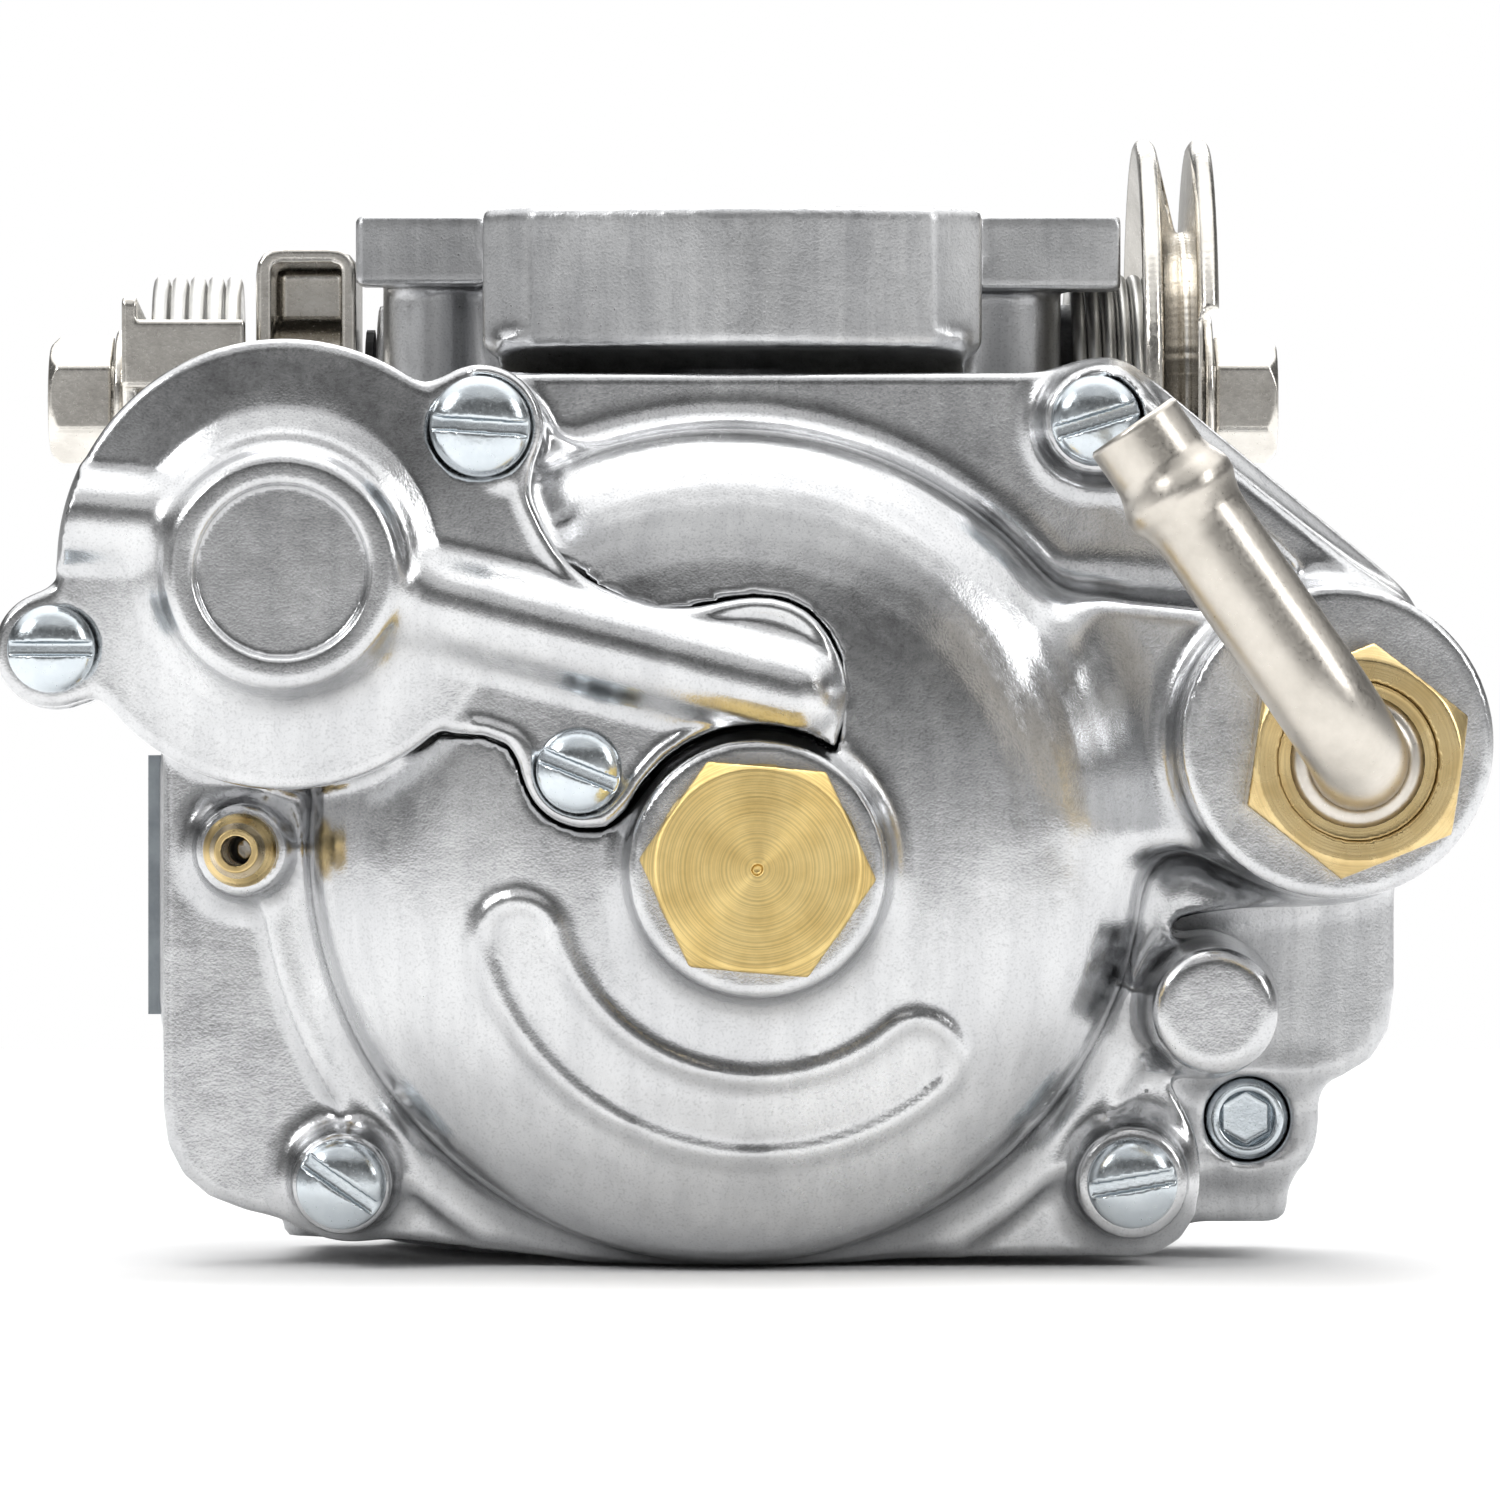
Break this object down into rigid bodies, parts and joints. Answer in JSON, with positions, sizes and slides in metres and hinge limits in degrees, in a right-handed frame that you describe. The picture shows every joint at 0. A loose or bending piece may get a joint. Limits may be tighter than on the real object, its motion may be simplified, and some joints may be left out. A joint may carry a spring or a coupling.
{
  "type": "carburetor",
  "caption": "Side-draught butterfly carburetor with a domed float bowl, accelerator pump cover, fuel inlet elbow and two-cable throttle spool.",
  "frame": {"origin": "middle of the bounding box footprint, on the surface that the part stands on", "axes": "+Z along the bore from the air-cleaner face to the manifold face, -Y out of the float bowl, +X right along the throttle shaft"},
  "size_m": [0.1392, 0.1328, 0.1097],
  "materials": {
    "cast_aluminium": "tumbled die casting, bright on the high spots",
    "brass": "turned brass",
    "zinc_plate": "bright bluish zinc plate",
    "nickel_plate": "warm nickel plate",
    "spring_steel": "bright drawn wire",
    "gasket_paper": "fibre gasket",
    "seal_rubber": "black fuel-proof rubber",
    "float_plastic": "closed-cell float"
  },
  "bodies": {
    "body": {"throttle_body": "cast_aluminium", "bowl_gasket": "gasket_paper", "float_bowl": "cast_aluminium", "bowl_screw_lower_left": "zinc_plate", "bowl_screw_lower_right": "zinc_plate", "bowl_screw_upper_right": "zinc_plate", "pump_cap_screw_top": "zinc_plate", "pump_cap_screw_left": "zinc_plate", "pump_cap_screw_inner": "zinc_plate", "bowl_plug": "brass", "plug_seal": "seal_rubber", "overflow_nipple": "brass", "pump_cap": "cast_aluminium", "pump_diaphragm": "seal_rubber", "pump_spring": "spring_steel", "pump_check_ball": "nickel_plate", "pump_nozzle": "brass", "pump_passage_seal": "seal_rubber", "fuel_inlet_nut": "brass", "fuel_inlet_elbow": "nickel_plate", "inlet_seat": "brass", "float_pin": "nickel_plate", "main_jet": "brass", "main_discharge_tube": "brass", "intermediate_jet": "brass", "throttle_return_spring": "spring_steel", "pump_lever_spring": "spring_steel", "shaft_seal_left": "seal_rubber", "shaft_seal_right": "seal_rubber", "idle_speed_spring": "spring_steel", "idle_mixture_spring": "spring_steel", "enrichment_spring": "spring_steel", "enrichment_nut": "zinc_plate", "side_cover_plate": "zinc_plate", "side_cover_screw_1": "zinc_plate", "side_cover_screw_2": "zinc_plate", "passage_screw": "zinc_plate"},
    "throttle": {"throttle_shaft": "nickel_plate", "throttle_plate": "brass", "plate_screw_1": "brass", "plate_screw_2": "brass", "cable_spool": "nickel_plate", "spool_washer": "nickel_plate", "shaft_nut_left": "nickel_plate", "shaft_nut_right": "nickel_plate", "lever_washer": "nickel_plate", "stop_lever": "nickel_plate"},
    "pump_lever": {"pump_lever": "nickel_plate"},
    "pump_rod": {"pump_rod": "nickel_plate"},
    "float": {"float": "float_plastic"},
    "inlet_needle": {"inlet_needle": "seal_rubber"},
    "idle_speed_screw": {"idle_speed_screw": "zinc_plate"},
    "idle_mixture_screw": {"idle_mixture_screw": "brass"},
    "enrichment_plunger": {"enrichment_plunger": "brass"}
  },
  "joints": [
    {"name": "throttle_turn", "type": "hinge", "parent": "body", "child": "throttle", "pos_m": [-0.00107, 0.0179, 0.0838], "axis": [-1, 0, 0], "range_deg": [0, 80], "stiffness_Nm_per_rad": 0.05, "springref_deg": -34.38},
    {"name": "pump_lever_turn", "type": "hinge", "parent": "body", "child": "pump_lever", "pos_m": [-0.00107, 0.0179, 0.0838], "axis": [-1, 0, 0], "range_deg": [0, 16]},
    {"name": "pump_rod_slide", "type": "slide", "parent": "body", "child": "pump_rod", "axis": [0, -1, 0], "range_m": [0, 0.0049], "deforming": ["pump_spring", "pump_diaphragm"]},
    {"name": "float_swing", "type": "hinge", "parent": "body", "child": "float", "pos_m": [0.04193, -0.0161, 0.049], "axis": [0, 0, 1], "range_deg": [0, 4]},
    {"name": "needle_lift", "type": "slide", "parent": "body", "child": "inlet_needle", "axis": [0, 1, 0], "range_m": [0, 0.0011]},
    {"name": "idle_speed_turn", "type": "hinge", "parent": "body", "child": "idle_speed_screw", "pos_m": [-0.05407, 0.0379, 0.068], "axis": [0, 1, 0], "continuous": true},
    {"name": "idle_mixture_turn", "type": "hinge", "parent": "body", "child": "idle_mixture_screw", "pos_m": [-0.00907, 0.0519, 0.092], "axis": [0, 1, 0], "continuous": true},
    {"name": "enrichment_pull", "type": "slide", "parent": "body", "child": "enrichment_plunger", "axis": [0, 1, 0], "range_m": [0, 0.0065], "stiffness_N_per_m": 150, "springref_m": -0.004, "deforming": ["enrichment_spring"]}
  ],
  "couplings": [
    {"joint": "pump_lever_turn", "follows": "throttle_turn", "ratio": 0.2},
    {"joint": "pump_rod_slide", "follows": "throttle_turn", "m_per_rad": 0.0035},
    {"joint": "needle_lift", "follows": "float_swing", "m_per_rad": 0.0146}
  ]
}
